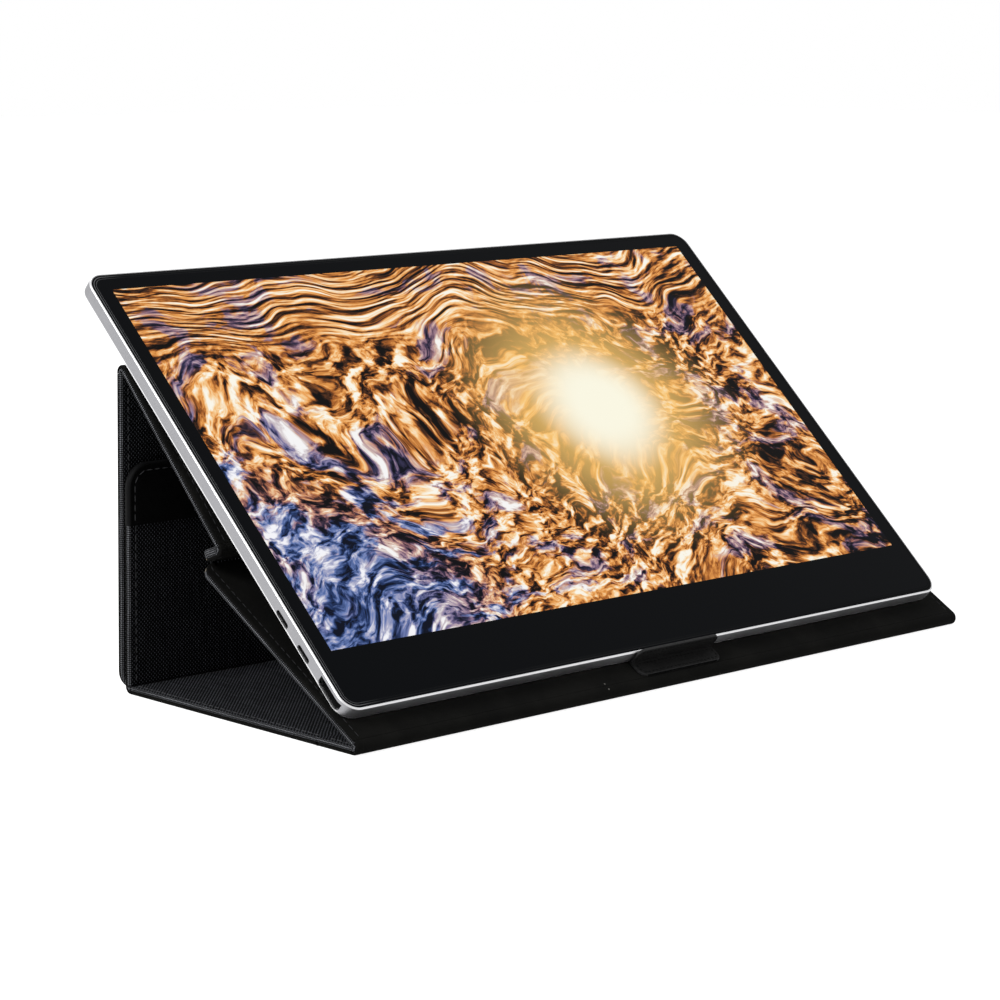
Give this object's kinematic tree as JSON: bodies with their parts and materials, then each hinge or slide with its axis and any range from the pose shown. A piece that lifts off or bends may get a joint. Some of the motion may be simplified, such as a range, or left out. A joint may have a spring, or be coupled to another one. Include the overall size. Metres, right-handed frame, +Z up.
{
  "type": "portable monitor with folding cover",
  "caption": "Slim portable monitor leaning in its folding cover, with hinged panels, a held flap, a leather stop tab, side sockets and side buttons.",
  "frame": {"origin": "middle of the overall box at the height of the surface that the cover's floor panel lies on", "axes": "+X to the right across the screen, +Y from the viewer towards the back of the stand, +Z up; the screen faces -Y and leans back"},
  "size_m": [0.37, 0.1788, 0.1751],
  "materials": {
    "housing_metal": "bead-blasted and anodised silver, with a polished bevel round the glass",
    "seal": "black",
    "screen_glass": "glossy, black border, picture lit from behind",
    "inner_plastic": "moulded",
    "cell": "dark display cell",
    "film": "translucent optical film",
    "led": "strip of small lamps",
    "tray_metal": "pressed sheet",
    "circuit_board": "green solder mask",
    "flex_film": "amber film with copper tracks",
    "socket_metal": "plated shell",
    "black_plastic": "moulded",
    "key_metal": "anodised silver",
    "steel": "plain",
    "canvas": "charcoal two-tone plain weave, stitched hem",
    "stiffener": "stiff board sealed in the cover",
    "microfibre": "near-black brushed microfibre",
    "magnet": "nickel plated",
    "band_leather": "smooth black",
    "tab_leather": "fine black grain, sewn"
  },
  "bodies": {
    "monitor": {"rear_housing": "housing_metal", "glass_seal": "seal", "front_glass": "screen_glass", "mid_frame": "inner_plastic", "lcd_cell": "cell", "diffuser_film": "film", "light_guide": "film", "reflector_film": "film", "led_strip": "led", "backlight_tray": "tray_metal", "timing_board": "circuit_board", "panel_flex": "flex_film", "main_board": "circuit_board", "hdmi_socket": "socket_metal", "usb_c_sockets": "socket_metal", "headphone_jack": "black_plastic", "speakers": "black_plastic", "button_board": "circuit_board", "rocker_pin": "steel", "screws": "steel", "steel_plates": "steel", "back_canvas": "canvas", "back_board": "stiffener", "back_lining": "microfibre", "back_magnets": "magnet", "apex_web": "microfibre", "spine_upper_web": "microfibre"},
    "power_key": {"power_button": "key_metal"},
    "menu_key": {"menu_rocker": "key_metal"},
    "rear_panel": {"rear_canvas": "canvas", "rear_board": "stiffener", "rear_lining": "microfibre", "rear_magnets": "magnet"},
    "spine": {"spine_canvas": "canvas", "spine_board": "stiffener", "spine_lining": "microfibre", "spine_lower_web": "canvas"},
    "ramp": {"ramp_canvas": "canvas", "ramp_board": "stiffener", "ramp_lining": "microfibre", "tab_base": "tab_leather", "tab_web": "tab_leather", "front_web": "microfibre"},
    "stop_tab": {"tab_lip_flange": "tab_leather"},
    "toe": {"toe_canvas": "canvas", "toe_board": "stiffener", "toe_lining": "microfibre", "crease_web": "canvas"},
    "floor_panel": {"floor_canvas": "canvas", "floor_board": "stiffener", "floor_lining": "microfibre", "heel_web": "microfibre"},
    "flap": {"flap_canvas": "canvas", "flap_board": "stiffener", "flap_lining": "microfibre", "flap_band": "band_leather", "flap_magnets": "magnet"}
  },
  "joints": [
    {"name": "rear_panel_fold", "type": "hinge", "parent": "monitor", "child": "rear_panel", "pos_m": [0, 0.05989, 0.13638], "axis": [1, 0, 0], "range_deg": [0, 116], "deforming": ["apex_web"]},
    {"name": "upper_spine_fold", "type": "hinge", "parent": "monitor", "child": "spine", "pos_m": [0, -0.00234, 0.06999], "axis": [1, 0, 0], "range_deg": [-113.55, 0], "deforming": ["spine_upper_web"]},
    {"name": "lower_spine_fold", "type": "hinge", "parent": "spine", "child": "ramp", "pos_m": [0, 0.00759, 0.06272], "axis": [1, 0, 0], "range_deg": [0, 129.8], "deforming": ["spine_lower_web"]},
    {"name": "front_fold", "type": "hinge", "parent": "ramp", "child": "toe", "pos_m": [0, -0.08617, 0.0032], "axis": [1, 0, 0], "range_deg": [-149.5, 0], "deforming": ["front_web"]},
    {"name": "floor_crease", "type": "hinge", "parent": "toe", "child": "floor_panel", "pos_m": [0, -0.06457, 0.0032], "axis": [1, 0, 0], "range_deg": [0, 8], "deforming": ["crease_web"]},
    {"name": "flap_fold", "type": "hinge", "parent": "floor_panel", "child": "flap", "pos_m": [0, 0.05843, 0.0032], "axis": [1, 0, 0], "range_deg": [0, 78], "deforming": ["heel_web"]},
    {"name": "tab_fold", "type": "hinge", "parent": "ramp", "child": "stop_tab", "pos_m": [0, -0.08124, 0.0117], "axis": [1, 0, 0], "range_deg": [0, 70], "stiffness_Nm_per_rad": 0.0005, "springref_deg": -5.73, "deforming": ["tab_web"]},
    {"name": "power_press", "type": "slide", "parent": "monitor", "child": "power_key", "axis": [-1, 0, 0], "range_m": [0, 0.0004], "stiffness_N_per_m": 60, "springref_m": -0.001},
    {"name": "menu_rock", "type": "hinge", "parent": "monitor", "child": "menu_key", "pos_m": [0.1766, -0.04108, 0.0522], "axis": [0, -0.6853, 0.7283], "range_deg": [-2, 2], "stiffness_Nm_per_rad": 0.002}
  ],
  "couplings": [
    {"joint": "upper_spine_fold", "follows": "rear_panel_fold", "ratio": -0.97802},
    {"joint": "lower_spine_fold", "follows": "rear_panel_fold", "ratio": 1.1181},
    {"joint": "front_fold", "follows": "rear_panel_fold", "ratio": -1.2879},
    {"joint": "flap_fold", "follows": "rear_panel_fold", "ratio": 0.6}
  ]
}
